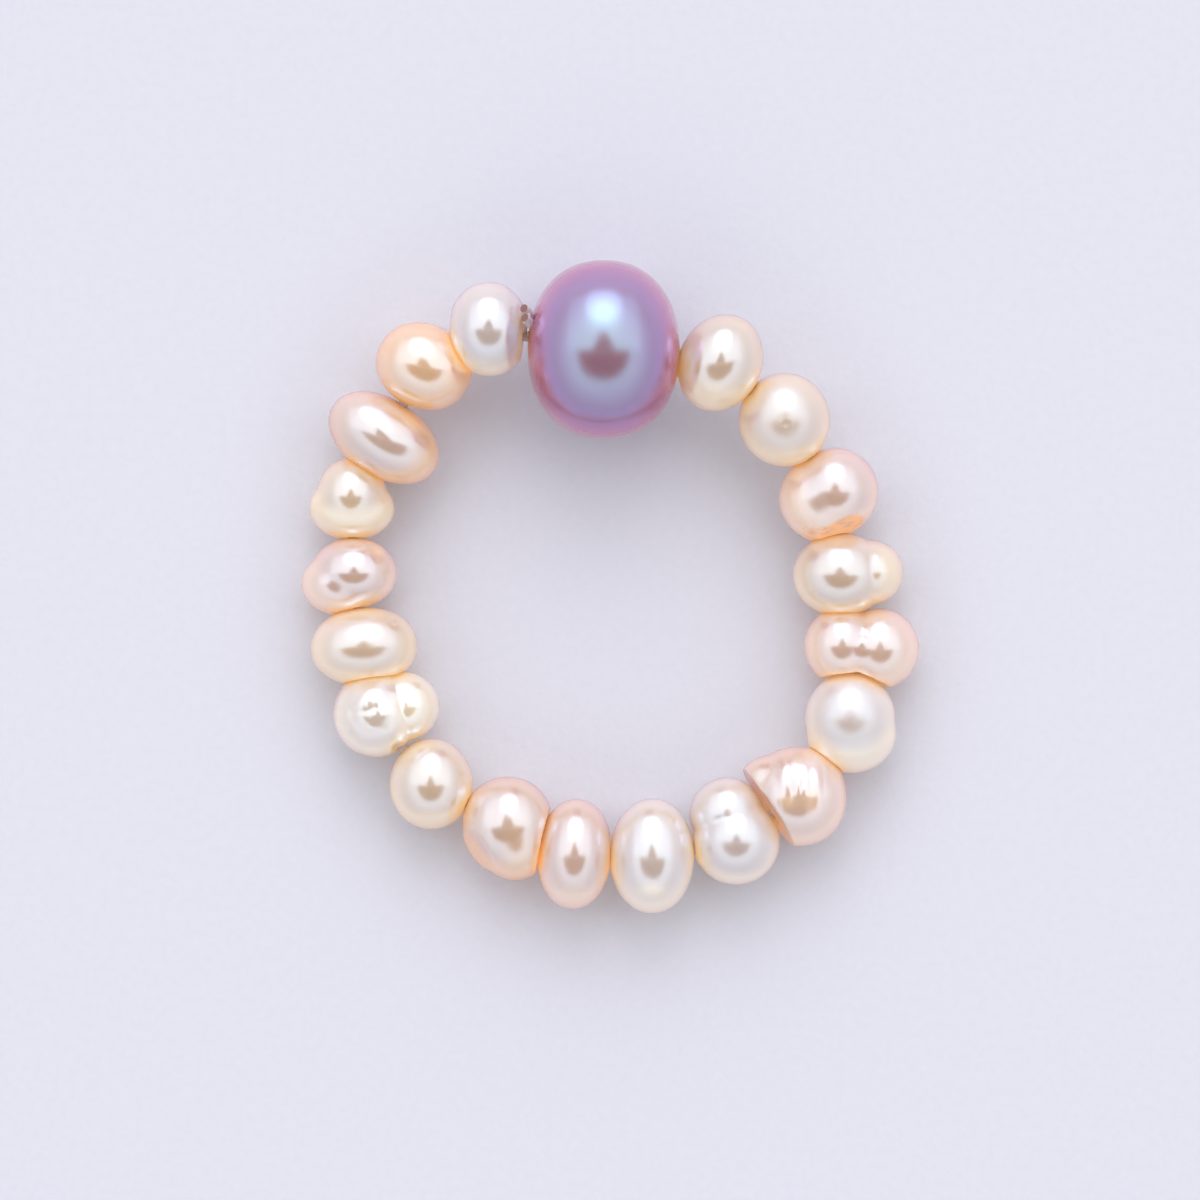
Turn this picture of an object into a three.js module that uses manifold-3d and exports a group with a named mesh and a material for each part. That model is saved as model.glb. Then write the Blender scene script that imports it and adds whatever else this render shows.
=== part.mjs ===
// A stretch ring of freshwater pearls: one large purple pearl and nineteen small baroque pearls
// threaded on a clear elastic cord, whose knot sits in the groove beside the large pearl.
// Millimetres, +Z up: the ring lies on the plane z = 0 with its large pearl towards +Y.
import * as THREE from 'three';
import { mergeVertices } from 'three/addons/utils/BufferGeometryUtils.js';
import Module from 'manifold-3d';

const wasm = await Module();
wasm.setup();

const UP = new THREE.Vector3(0, 0, 1);
const FULL_TURN = 2 * Math.PI;
const FARTHEST = 8; // past the surface of any pearl, from its middle
const PRECISION = 1e-6;
const GRAZING = 0.05; // a flat faces a direction when the cosine between them is above this

// Driving dimensions
const HOLE_RADIUS = 0.4; // drill hole through each pearl
const CORD_RADIUS = 0.25; // clear elastic cord
const PEARL_GAP = 0.06; // space left where two pearls touch
const KNOT_GAP = 0.26; // space that the knot's strand takes between its two pearls
const CREASE = 0.12; // rounding of the crease between two lobes of one pearl

// The knot: a ball in the groove between the two pearls, reached by a strand from the cord
const KNOT_PLACE = new THREE.Vector3(0.1, 0.9, 1.3); // the ball's middle, from the cord's
const KNOT_SIZE = new THREE.Vector3(0.46, 0.9, 0.8);
const STRAND_RADIUS = 0.07;
const CUT_END_RADIUS = 0.21;
// Where the two cut ends of the cord finish, from the middle of the ball
const CUT_ENDS = table(['x', 'y', 'z'], [
  [-0.14, 0.36, 0.44],
  [-0.1, -0.08, 0.6],
]);

// How finely each piece is faceted
const SMALL_PEARL = { rings: 12, sides: 16 };
const LARGE_PEARL = { rings: 18, sides: 24 };
const CORD_STEPS = 80;
const CORD_SIDES = 8;

const TONES = {
  purple: { color: 0xb593b8, roughness: 0.22 },
  white: { color: 0xf0e9e6, roughness: 0.25 },
  cream: { color: 0xf1e2cf, roughness: 0.25 },
  pink: { color: 0xeed3c8, roughness: 0.25 },
  peach: { color: 0xf0cba4, roughness: 0.25 },
};
const CORD_LOOK = { color: 0xd8bdb8, roughness: 0.2 };

// The pearls in threading order, clockwise from the large one: the middle of each, its full
// length along the direction that turn gives (degrees from +X), its width across that, its
// height, its fullness (2 is an ellipsoid, more is squarer towards its ends), how far its
// underside is lifted off the surface, and which of it and the next pearl lies over the other.
const PEARLS = table([
  'name', 'x', 'y', 'turn', 'length', 'width', 'height', 'fullness', 'lift', 'over', 'tone',
], [
  ['centre_pearl', -0.24, 11.26, 0, 7.25, 8.5, 8.45, 2.2, 0, 'next', 'purple'],
  ['pearl_01', 5.3, 10.64, 65, 4.75, 4.0, 4.3, 2, 1.85, 'next', 'cream'],
  ['pearl_02', 8.34, 7.96, 0, 4.4, 4.5, 4.4, 2, 1.0, 'next', 'cream'],
  ['pearl_03', 10.75, 4.55, 0, 4.2, 4.2, 4.2, 2, 0.45, 'next', 'pink'],
  ['pearl_04', 11.03, 0.6, 0, 4.6, 4.0, 4.2, 2, 0.1, 'next', 'cream'],
  ['pearl_05', 12.02, -2.97, 0, 3.6, 3.4, 3.8, 2, 0, 'next', 'pink'],
  ['pearl_06', 11.5, -6.21, 0, 4.3, 4.3, 4.3, 2, 0, 'next', 'white'],
  ['pearl_07', 8.91, -9.98, 0, 4.85, 4.75, 4.4, 2.15, 0, 'this', 'pink'],
  ['pearl_08', 6.06, -12.1, 0, 4.2, 4.2, 4.3, 2, 0, 'next', 'white'],
  ['pearl_09', 2.06, -12.8, 0, 4.0, 5.5, 4.8, 2.1, 0, 'this', 'white'],
  ['pearl_10', -1.62, -12.71, -4, 3.5, 5.25, 4.7, 2.15, 0, 'this', 'pink'],
  ['pearl_11', -4.76, -11.35, 0, 4.45, 4.65, 4.4, 2.1, 0, 'this', 'peach'],
  ['pearl_12', -8.46, -9.38, 0, 4.0, 4.35, 4.1, 2, 0, 'this', 'cream'],
  ['pearl_13', -11.1, -6.02, 0, 4.1, 4.15, 4.2, 2, 0, 'this', 'white'],
  ['pearl_14', -11.67, -2.85, 4, 5.1, 3.75, 4.3, 2.15, 0, 'this', 'cream'],
  ['pearl_15', -12.17, 0.66, 0, 4.2, 3.4, 3.9, 2, 0, 'this', 'pink'],
  ['pearl_16', -12.25, 4.35, 0, 3.4, 3.7, 3.7, 2, 0.1, 'this', 'cream'],
  ['pearl_17', -10.72, 7.12, -33, 5.75, 3.7, 4.3, 2.1, 0.4, 'this', 'peach'],
  ['pearl_18', -8.8, 10.51, -25, 4.7, 4.05, 4.2, 2.1, 1.05, 'this', 'peach'],
  ['pearl_19', -5.66, 12.25, 5, 3.78, 4.5, 4.3, 2.15, 1.85, 'next', 'white'],
]);

// Second lobes that grew onto a pearl: the lobe's middle from the pearl's, and its full sizes
const LOBES = table(['pearl', 'x', 'y', 'z', 'length', 'width', 'height'], [
  ['pearl_03', -0.55, -0.32, -0.1, 4.25, 4.2, 4.0],
  ['pearl_04', 1.4, 0.1, -0.1, 3.28, 3.1, 3.4],
  ['pearl_05', -0.92, 0.08, 0, 3.6, 3.95, 3.8],
  ['pearl_05', 0.9, -0.08, 0, 3.75, 4.05, 3.8],
  ['pearl_06', 0.08, -0.78, -0.15, 4.25, 3.8, 3.9],
  ['pearl_07', -1.2, 0.74, 0, 3.4, 2.5, 3.0],
  ['pearl_08', -0.45, 1.3, -0.1, 3.6, 3.5, 3.7],
  ['pearl_11', 0.35, -0.65, 0, 3.7, 3.95, 4.0],
  ['pearl_13', 1.3, 0.35, -0.1, 3.5, 3.3, 3.4],
  ['pearl_15', -0.65, -0.5, -0.1, 3.8, 3.1, 3.6],
  ['pearl_16', 0, -0.6, -0.1, 4.1, 3.1, 3.4],
]);

// Worn or broken flats: the way each faces in degrees, its distance from the pearl's middle and
// the rounding where it meets the surface
const FLATS = table(['pearl', 'azimuth', 'elevation', 'distance', 'edge'], [
  ['pearl_03', -69, 28, 1.95, 0.04],
  ['pearl_07', 214, 8, 1.5, 0.08],
  ['pearl_11', 215, 25, 2.0, 0.08],
]);

/** Rows of values as objects with one property for each column. */
function table(columns, rows) {
  return rows.map((row) => Object.fromEntries(columns.map((column, i) => [column, row[i]])));
}

/** The larger of two values, with the corner where they cross rounded over a blend width. */
function softMax(a, b, blend) {
  const corner = Math.max(blend - Math.abs(a - b), 0);
  return Math.max(a, b) + (corner * corner) / (4 * blend);
}

/** The smaller of two values, rounded over in the same way. */
function softMin(a, b, blend) {
  return -softMax(-a, -b, blend);
}

/** The direction with an azimuth from +X and an elevation above the surface, in degrees. */
function facing(azimuth, elevation) {
  const turn = THREE.MathUtils.degToRad(azimuth);
  const rise = THREE.MathUtils.degToRad(elevation);
  return new THREE.Vector3(
    Math.cos(rise) * Math.cos(turn),
    Math.cos(rise) * Math.sin(turn),
    Math.sin(rise),
  );
}

/** How far the pearl's own body reaches along a direction from its middle. */
function bodyReach(pearl, direction) {
  const ray = direction.clone().applyAxisAngle(UP, -pearl.turn).divide(pearl.half);
  const along = Math.abs(ray.x) ** pearl.fullness;
  const across = Math.hypot(ray.y, ray.z) ** pearl.fullness;
  return (along + across) ** (-1 / pearl.fullness);
}

/** How far an added lobe reaches along a direction from the pearl's middle, inside the lobe. */
function lobeReach(lobe, direction) {
  const ray = direction.clone().divide(lobe.half);
  const offset = lobe.offset.clone().divide(lobe.half);
  const a = ray.lengthSq();
  const b = ray.dot(offset);
  return (b + Math.sqrt(b * b - a * (offset.lengthSq() - 1))) / a;
}

/** How far the pearl reaches along a direction: its body and its lobes, cut by its flats. */
function reach(pearl, direction) {
  const grown = pearl.lobes.reduce(
    (outer, lobe) => softMax(outer, lobeReach(lobe, direction), CREASE),
    bodyReach(pearl, direction),
  );
  return pearl.flats.reduce((outer, flat) => {
    const lean = direction.dot(flat.normal);
    return lean > GRAZING ? softMin(outer, flat.distance / lean, flat.edge) : outer;
  }, grown);
}

/** A pearl from its row of the table, with its lobes and its flats. */
function grow(row) {
  const lobes = LOBES.filter((lobe) => lobe.pearl === row.name).map((lobe) => ({
    offset: new THREE.Vector3(lobe.x, lobe.y, lobe.z),
    half: halfSizes(lobe),
  }));
  const flats = FLATS.filter((flat) => flat.pearl === row.name).map((flat) => ({
    normal: facing(flat.azimuth, flat.elevation),
    distance: flat.distance,
    edge: flat.edge,
  }));
  return {
    ...row,
    middle: new THREE.Vector3(row.x, row.y, row.lift + row.height / 2),
    turn: THREE.MathUtils.degToRad(row.turn),
    half: halfSizes(row),
    lobes,
    flats,
    covers: [],
  };
}

/** Half of a row's length, width and height. */
function halfSizes(sizes) {
  return new THREE.Vector3(sizes.length, sizes.width, sizes.height).multiplyScalar(0.5);
}

/** Settles where two neighbours meet: the lower one keeps clear of the one that lies over it. */
function meet(pearl, next, gap) {
  const [upper, lower] = pearl.over === 'this' ? [pearl, next] : [next, pearl];
  const across = lower.middle.clone().sub(upper.middle);
  const distance = across.length();
  const direction = across.divideScalar(distance);
  const near = reach(upper, direction);
  const far = reach(lower, direction.clone().negate());
  const space = Math.max(distance - near - far, gap);
  const contact = upper.middle.clone().addScaledVector(direction, near + space / 2);
  lower.covers.push({ pearl: upper, gap });
  pearl.exit = contact;
  next.entry = contact;
}

/** Whether a point lies within a pearl, or nearer to its surface than a gap. */
function within(pearl, point, gap) {
  const spoke = point.clone().sub(pearl.middle);
  const length = spoke.length();
  return length < reach(pearl, spoke.divideScalar(length)) + gap;
}

/** How far it is from a point inside the pearl to its surface along a direction. */
function distanceToSurface(pearl, start, direction) {
  let inside = 0;
  let outside = FARTHEST;
  while (outside - inside > PRECISION) {
    const half = (inside + outside) / 2;
    const point = start.clone().addScaledVector(direction, half);
    const covered = pearl.covers.some((cover) => within(cover.pearl, point, cover.gap));
    if (within(pearl, point, 0) && !covered) {
      inside = half;
    } else {
      outside = half;
    }
  }
  return inside;
}

/** A closed body that wraps round both ways: rings of points, the last joined to the first. */
function wrappedRings(rings) {
  const sides = rings[0].length;
  const index = [];
  rings.forEach((ring, i) => {
    const nextRing = (i + 1) % rings.length;
    ring.forEach((point, j) => {
      const nextSide = (j + 1) % sides;
      const a = i * sides + j;
      const b = i * sides + nextSide;
      const c = nextRing * sides + nextSide;
      const d = nextRing * sides + j;
      index.push(a, b, d, b, c, d);
    });
  });
  const geometry = new THREE.BufferGeometry().setFromPoints(rings.flat());
  geometry.setIndex(index);
  geometry.computeVertexNormals();
  return geometry;
}

/** Two directions square to an axis, the first as near upright as it can be. */
function crossDirections(axis) {
  const upright = UP.clone().addScaledVector(axis, -UP.dot(axis)).normalize();
  return [upright, axis.clone().cross(upright)];
}

/** A pearl from one mouth of its drill hole over its surface to the other, and back inside. */
function pearlGeometry(pearl, fineness) {
  const { rings, sides } = fineness;
  const axis = pearl.exit.clone().sub(pearl.entry).normalize();
  const along = pearl.middle.clone().sub(pearl.entry).dot(axis);
  const start = pearl.entry.clone().addScaledVector(axis, along);
  const [upright, sideways] = crossDirections(axis);
  const points = Array.from({ length: rings + 1 }, () => []);
  for (let side = 0; side < sides; side += 1) {
    const around = (side / sides) * FULL_TURN;
    const outward = upright.clone().multiplyScalar(Math.cos(around));
    outward.addScaledVector(sideways, Math.sin(around));
    const spoke = (angle) => outward.clone().multiplyScalar(Math.sin(angle))
      .addScaledVector(axis, -Math.cos(angle));
    const first = rimAngle(pearl, start, spoke, 0);
    const last = rimAngle(pearl, start, spoke, Math.PI);
    for (let ring = 0; ring <= rings; ring += 1) {
      const direction = spoke(THREE.MathUtils.lerp(first, last, ring / rings));
      const distance = distanceToSurface(pearl, start, direction);
      points[ring].push(start.clone().addScaledVector(direction, distance));
    }
  }
  return wrappedRings(points);
}

/** The angle from the drill axis at which a spoke meets the hole's rim, settled in a few passes. */
function rimAngle(pearl, start, spoke, pole) {
  const passes = 6;
  let angle = 0;
  for (let pass = 0; pass < passes; pass += 1) {
    const distance = distanceToSurface(pearl, start, spoke(Math.abs(pole - angle)));
    angle = Math.asin(HOLE_RADIUS / distance);
  }
  return Math.abs(pole - angle);
}

/** The elastic cord's loop: straight through each drill hole, bending where the pearls meet. */
function cordGeometry(pearls) {
  const stops = pearls.flatMap((pearl) => [
    pearl.entry,
    pearl.entry.clone().lerp(pearl.exit, 0.5),
  ]);
  const route = new THREE.CatmullRomCurve3(stops, true, 'centripetal');
  const rings = [];
  for (let step = 0; step < CORD_STEPS; step += 1) {
    const middle = route.getPointAt(step / CORD_STEPS);
    const [upright, sideways] = crossDirections(route.getTangentAt(step / CORD_STEPS));
    rings.push(Array.from({ length: CORD_SIDES }, (unused, side) => {
      const around = (side / CORD_SIDES) * FULL_TURN;
      return middle.clone().addScaledVector(upright, CORD_RADIUS * Math.cos(around))
        .addScaledVector(sideways, CORD_RADIUS * Math.sin(around));
    }));
  }
  return wrappedRings(rings);
}

/** A round rod from one point to another. */
function rod(from, to, radius) {
  const span = to.clone().sub(from);
  const geometry = new THREE.CylinderGeometry(radius, radius, span.length(), CORD_SIDES);
  const lie = new THREE.Quaternion().setFromUnitVectors(
    new THREE.Vector3(0, 1, 0),
    span.clone().normalize(),
  );
  return geometry.applyQuaternion(lie).translate(...from.clone().lerp(to, 0.5).toArray());
}

/** The knot's ball, its strand to the cord and the two cut ends that stand out of it. */
function knotGeometries(contact) {
  const middle = contact.clone().add(KNOT_PLACE);
  const ball = new THREE.SphereGeometry(0.5, 12, 8).scale(...KNOT_SIZE.toArray());
  ball.translate(...middle.toArray());
  const strand = rod(contact, middle, STRAND_RADIUS);
  const ends = CUT_ENDS.map((end) => {
    const tip = new THREE.Vector3(end.x, end.y, end.z).add(middle);
    return rod(middle, tip, CUT_END_RADIUS);
  });
  return [ball, strand, ...ends];
}

/** Joins closed geometries into one body. */
function join(geometries) {
  const solids = geometries.map((geometry) => {
    const bare = geometry.clone();
    bare.deleteAttribute('normal');
    bare.deleteAttribute('uv');
    const merged = mergeVertices(bare);
    return new wasm.Manifold(new wasm.Mesh({
      numProp: 3,
      vertProperties: merged.getAttribute('position').array,
      triVerts: new Uint32Array(merged.getIndex().array),
    }));
  });
  const joined = solids.reduce((body, solid) => body.add(solid)).getMesh();
  const geometry = new THREE.BufferGeometry();
  geometry.setAttribute('position', new THREE.BufferAttribute(joined.vertProperties, 3));
  geometry.setIndex(new THREE.BufferAttribute(joined.triVerts, 1));
  geometry.computeVertexNormals();
  return geometry;
}

/** A named piece of the ring with its own material. */
function piece(name, geometry, look) {
  const mesh = new THREE.Mesh(geometry, new THREE.MeshStandardMaterial(look));
  mesh.name = name;
  return mesh;
}

/** The whole ring, centred over the origin and resting on z = 0. */
function stretchRing() {
  const pearls = PEARLS.map(grow);
  const last = pearls.length - 1;
  pearls.forEach((pearl, i) => {
    meet(pearl, pearls[(i + 1) % pearls.length], i === last ? KNOT_GAP : PEARL_GAP);
  });
  const ring = new THREE.Group();
  pearls.forEach((pearl, i) => {
    const geometry = pearlGeometry(pearl, i === 0 ? LARGE_PEARL : SMALL_PEARL);
    ring.add(piece(pearl.name, geometry, TONES[pearl.tone]));
  });
  const cord = join([cordGeometry(pearls), ...knotGeometries(pearls[last].exit)]);
  ring.add(piece('elastic_cord', cord, CORD_LOOK));
  const box = new THREE.Box3().setFromObject(ring, true);
  const middle = box.getCenter(new THREE.Vector3());
  ring.position.set(-middle.x, -middle.y, -box.min.z);
  return ring;
}

export default stretchRing();
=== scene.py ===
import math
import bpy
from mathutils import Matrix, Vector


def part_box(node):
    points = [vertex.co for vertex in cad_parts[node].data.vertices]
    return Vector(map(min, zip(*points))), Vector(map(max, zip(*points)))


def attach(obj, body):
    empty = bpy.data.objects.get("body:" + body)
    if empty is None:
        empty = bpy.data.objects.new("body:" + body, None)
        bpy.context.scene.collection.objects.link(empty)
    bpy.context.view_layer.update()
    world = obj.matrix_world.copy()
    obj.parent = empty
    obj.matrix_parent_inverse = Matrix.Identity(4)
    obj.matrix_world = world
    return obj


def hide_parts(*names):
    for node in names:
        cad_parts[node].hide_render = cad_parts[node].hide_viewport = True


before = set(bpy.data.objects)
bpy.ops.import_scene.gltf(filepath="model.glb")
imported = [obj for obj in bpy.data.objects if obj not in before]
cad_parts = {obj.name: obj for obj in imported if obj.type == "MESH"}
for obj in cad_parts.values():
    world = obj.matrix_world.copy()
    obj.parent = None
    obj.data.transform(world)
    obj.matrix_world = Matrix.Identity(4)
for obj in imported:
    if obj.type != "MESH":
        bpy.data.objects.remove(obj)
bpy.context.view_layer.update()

# A stretch ring of freshwater pearls, lying on pale paper: one large purple pearl and nineteen
# small baroque ones on a clear elastic cord, whose knot sits beside the large pearl.
# The tables and forms are in millimetres, in the order the pearls are threaded.
from types import SimpleNamespace

import bpy
import numpy as np

MM = 0.001
UP = np.array([0.0, 0.0, 1.0])

# The same driving dimensions as the CAD model's: the drill holes and the cord, the spaces left
# between neighbours, and the rounding of the crease between two lobes
HOLE_RADIUS = 0.4
CORD_RADIUS = 0.25
PEARL_GAP = 0.06
KNOT_GAP = 0.26
CREASE = 0.12
# What centres the ring over the origin, resting on the paper
GROUP_SHIFT = np.array([-0.0566, 0.0154, -0.0011])

# The search for a pearl's surface: how far out it starts, how many times it halves the way,
# how often it closes in on the rim of a hole, and how squarely a flat must be faced to cut
FARTHEST = 8.0
HALVINGS = 24
RIM_ROUNDS = 6
GRAZING = 0.05

# How far inside each mouth the drill hole's straight wall starts
MOUTH_DEPTH = 0.1

# How finely each piece is meshed: the rings and the sides of a pearl, the steps along the
# cord's loop, round the knot's turns and between the stops of an open line, and a line's sides
SMALL_PEARL = (100, 160)
LARGE_PEARL = (150, 220)
CORD_STEPS = 1200
TURN_STEPS = 60
LINE_STEPS = 8
CORD_SIDES = 16

# The pearls in threading order, clockwise from the large one: the middle of each, its length
# along the direction that turn gives, its width, its height, its fullness, how far its
# underside is off the paper, which of it and the next pearl lies over the other, and its tone.
# All are the CAD model's, but for pearl_05's body, which is smaller about the same middle.
PEARL_COLUMNS = "name x y turn length width height fullness lift over tone"
PEARLS = [
    ("centre_pearl", -0.24, 11.26, 0, 7.25, 8.5, 8.45, 2.2, 0, "next", "purple"),
    ("pearl_01", 5.3, 10.64, 65, 4.75, 4.0, 4.3, 2, 1.85, "next", "cream"),
    ("pearl_02", 8.34, 7.96, 0, 4.4, 4.5, 4.4, 2, 1.0, "next", "cream"),
    ("pearl_03", 10.75, 4.55, 0, 4.2, 4.2, 4.2, 2, 0.45, "next", "pink"),
    ("pearl_04", 11.03, 0.6, 0, 4.6, 4.0, 4.2, 2, 0.1, "next", "cream"),
    ("pearl_05", 12.02, -2.97, 0, 3.3, 3.2, 3.54, 2, 0.13, "next", "pink"),
    ("pearl_06", 11.5, -6.21, 0, 4.3, 4.3, 4.3, 2, 0, "next", "white"),
    ("pearl_07", 8.91, -9.98, 0, 4.85, 4.75, 4.4, 2.15, 0, "this", "pink"),
    ("pearl_08", 6.06, -12.1, 0, 4.2, 4.2, 4.3, 2, 0, "next", "white"),
    ("pearl_09", 2.06, -12.8, 0, 4.0, 5.5, 4.8, 2.1, 0, "this", "white"),
    ("pearl_10", -1.62, -12.71, -4, 3.5, 5.25, 4.7, 2.15, 0, "this", "pink"),
    ("pearl_11", -4.76, -11.35, 0, 4.45, 4.65, 4.4, 2.1, 0, "this", "peach"),
    ("pearl_12", -8.46, -9.38, 0, 4.0, 4.35, 4.1, 2, 0, "this", "cream"),
    ("pearl_13", -11.1, -6.02, 0, 4.1, 4.15, 4.2, 2, 0, "this", "white"),
    ("pearl_14", -11.67, -2.85, 4, 5.1, 3.75, 4.3, 2.15, 0, "this", "cream"),
    ("pearl_15", -12.17, 0.66, 0, 4.2, 3.4, 3.9, 2, 0, "this", "pink"),
    ("pearl_16", -12.25, 4.35, 0, 3.4, 3.7, 3.7, 2, 0.1, "this", "cream"),
    ("pearl_17", -10.72, 7.12, -33, 5.75, 3.7, 4.3, 2.1, 0.4, "this", "peach"),
    ("pearl_18", -8.8, 10.51, -25, 4.7, 4.05, 4.2, 2.1, 1.05, "this", "peach"),
    ("pearl_19", -5.66, 12.25, 5, 3.78, 4.5, 4.3, 2.15, 1.85, "next", "white"),
]

# Second lobes that grew onto a pearl: the lobe's middle from the pearl's, and its sizes
LOBE_COLUMNS = "pearl x y z length width height"
LOBES = [
    ("pearl_03", -0.55, -0.32, -0.1, 4.25, 4.2, 4.0),
    ("pearl_04", 1.4, 0.1, -0.1, 3.28, 3.1, 3.4),
    ("pearl_05", -0.92, 0.08, 0, 3.6, 3.95, 3.8),
    ("pearl_05", 0.9, -0.08, 0, 3.75, 4.05, 3.8),
    ("pearl_06", 0.08, -0.78, -0.15, 4.25, 3.8, 3.9),
    ("pearl_07", -1.2, 0.74, 0, 3.4, 2.5, 3.0),
    ("pearl_08", -0.45, 1.3, -0.1, 3.6, 3.5, 3.7),
    ("pearl_11", 0.35, -0.65, 0, 3.7, 3.95, 4.0),
    ("pearl_13", 1.3, 0.35, -0.1, 3.5, 3.3, 3.4),
    ("pearl_15", -0.65, -0.5, -0.1, 3.8, 3.1, 3.6),
    ("pearl_16", 0, -0.6, -0.1, 4.1, 3.1, 3.4),
]

# Worn or broken flats: the way each faces in degrees, its distance from the pearl's middle,
# the rounding of its edge and how worn it is
FLAT_COLUMNS = "pearl azimuth elevation distance edge wear"
FLATS = [
    ("pearl_03", -69, 28, 1.95, 0.04, 1.0),
    ("pearl_07", 214, 8, 1.5, 0.08, 0.06),
    ("pearl_11", 215, 25, 2.0, 0.08, 0.06),
]

# Small round pits on the upper side, some with a raised rim: the place from the pearl's middle
PIT_COLUMNS = "pearl x y radius depth rim"
PITS = [
    ("pearl_02", 0.05, -0.25, 0.16, 0.025, 0.01),
    ("pearl_05", 0.04, 0.5, 0.12, 0.05, 0.0),
    ("pearl_13", 1.12, -1.75, 0.3, 0.16, 0.03),
    ("pearl_14", 1.5, 1.17, 0.13, 0.06, 0.0),
]

# Shallow growth grooves round a pearl: the way the groove's axis points, how far along it
# the groove lies, its depth and its width
GROOVE_COLUMNS = "pearl azimuth offset depth width"
GROOVES = [
    ("pearl_01", 65, -1.7, 0.02, 0.16),
    ("pearl_09", 180, 1.2, 0.015, 0.2),
    ("pearl_12", 0, 1.45, 0.02, 0.14),
    ("pearl_14", 92, -1.35, 0.015, 0.2),
    ("pearl_15", 35, 1.35, 0.02, 0.16),
    ("pearl_19", 0, 1.15, 0.025, 0.14),
    ("pearl_19", 180, 1.4, 0.02, 0.12),
]

# Patches on the upper side where a pearl is warmer (partly its own tone, partly painted warm
# light), worn to its bare layer or crumpled: the patch's middle from the pearl's, its half width
# and half height, and how much. Warm and worn patches also feed the painted amber glow.
PATCH_COLUMNS = "pearl kind x y width height amount"
PATCHES = [
    ("centre_pearl", "warmth", -4.0, -1.0, 1.3, 2.6, 1.0),
    ("centre_pearl", "warmth", 4.0, -0.8, 1.3, 2.6, 1.0),
    ("pearl_01", "warmth", -0.3, -1.9, 2.0, 0.9, 1.0),
    ("pearl_01", "warmth", -1.7, -0.2, 0.7, 1.4, 0.5),
    ("pearl_02", "warmth", 0.6, -1.9, 1.4, 0.5, 0.7),
    ("pearl_03", "warmth", -1.9, -0.3, 0.6, 1.5, 0.6),
    ("pearl_03", "warmth", 0.3, -1.4, 1.5, 0.5, 0.6),
    ("pearl_03", "wear_and_glow", 0.3, -1.88, 1.1, 0.13, 1.0),
    ("pearl_03", "wear_and_glow", -1.1, -2.05, 0.4, 0.3, 0.8),
    ("pearl_04", "warmth", 0.0, -1.75, 1.9, 0.35, 0.8),
    ("pearl_04", "warmth", 2.3, 0.2, 0.5, 1.2, 0.3),
    ("pearl_05", "warmth", -0.5, -0.95, 0.5, 0.35, 0.5),
    ("pearl_06", "warmth", 0.1, -2.1, 1.7, 0.55, 0.7),
    ("pearl_07", "warmth", -0.5, -0.15, 0.45, 0.35, 0.9),
    ("pearl_07", "warmth", 0.65, -0.15, 0.5, 0.6, 0.8),
    ("pearl_07", "crumple", 0.2, 0.7, 1.6, 1.3, 1.0),
    ("pearl_08", "warmth", 0.0, -1.9, 1.4, 0.4, 0.5),
    ("pearl_09", "warmth", 0.0, -1.55, 0.55, 0.3, 0.9),
    ("pearl_09", "crumple", 0.0, -1.3, 1.2, 1.0, 0.15),
    ("pearl_10", "warmth", 0.2, -2.2, 1.4, 0.5, 0.6),
    ("pearl_11", "warmth", 0.6, -0.8, 0.8, 1.2, 0.3),
    ("pearl_11", "crumple", -0.3, 0.6, 1.2, 1.2, 0.45),
    ("pearl_12", "warmth", 0.1, -1.8, 1.4, 0.5, 0.7),
    ("pearl_13", "crumple", -0.5, 0.3, 1.5, 2.0, 1.0),
    ("pearl_13", "warmth", 1.6, 0.2, 0.7, 1.5, 0.9),
    ("pearl_13", "warmth", 1.12, -1.75, 0.4, 0.4, 1.0),
    ("pearl_14", "warmth", 0.1, -1.6, 2.0, 0.5, 0.8),
    ("pearl_15", "warmth", 1.25, 1.0, 0.25, 0.6, 0.7),
    ("pearl_15", "warmth", 0.0, -1.6, 1.6, 0.4, 0.6),
    ("pearl_16", "warmth", 0.0, -1.2, 1.9, 0.6, 0.7),
    ("pearl_17", "warmth", 1.5, 0.9, 1.0, 0.7, 0.5),
    ("pearl_18", "warmth", 1.8, -0.4, 0.6, 1.2, 0.7),
    ("pearl_19", "warmth", 1.75, -0.7, 0.25, 1.0, 1.0),
]

# What patches, flats and each pearl's body add up to over its surface
SURFACE_KINDS = ["warmth", "wear_and_glow", "dull", "crumple"]

# The body of each pearl: how far its colour goes from pale to warm (which also adds to its
# painted amber glow), how dull its polish is, and the height of its waves and its crumples
BODY_COLUMNS = "pearl warmth dull waves crumple"
BODIES = [
    ("centre_pearl", 0.0, 0.0, 0.02, 0.0),
    ("pearl_01", 0.1, 0.0, 0.03, 0.0),
    ("pearl_02", 0.15, 0.13, 0.03, 0.0),
    ("pearl_03", 0.15, 0.0, 0.04, 0.0),
    ("pearl_04", 0.1, 0.0, 0.04, 0.0),
    ("pearl_05", 0.3, 0.0, 0.01, 0.0),
    ("pearl_06", 0.1, 0.13, 0.04, 0.0),
    ("pearl_07", 0.2, 0.0, 0.06, 0.16),
    ("pearl_08", 0.0, 0.03, 0.04, 0.0),
    ("pearl_09", 0.1, 0.0, 0.05, 0.05),
    ("pearl_10", 0.15, 0.0, 0.04, 0.0),
    ("pearl_11", 0.05, 0.0, 0.06, 0.12),
    ("pearl_12", 0.2, 0.0, 0.05, 0.0),
    ("pearl_13", 0.35, -0.04, 0.08, 0.18),
    ("pearl_14", 0.25, 0.03, 0.06, 0.0),
    ("pearl_15", 0.1, -0.02, 0.04, 0.0),
    ("pearl_16", 0.3, 0.0, 0.05, 0.0),
    ("pearl_17", 0.05, 0.0, 0.05, 0.0),
    ("pearl_18", 0.65, 0.0, 0.05, 0.0),
    ("pearl_19", 0.0, 0.0, 0.06, 0.0),
]

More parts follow.
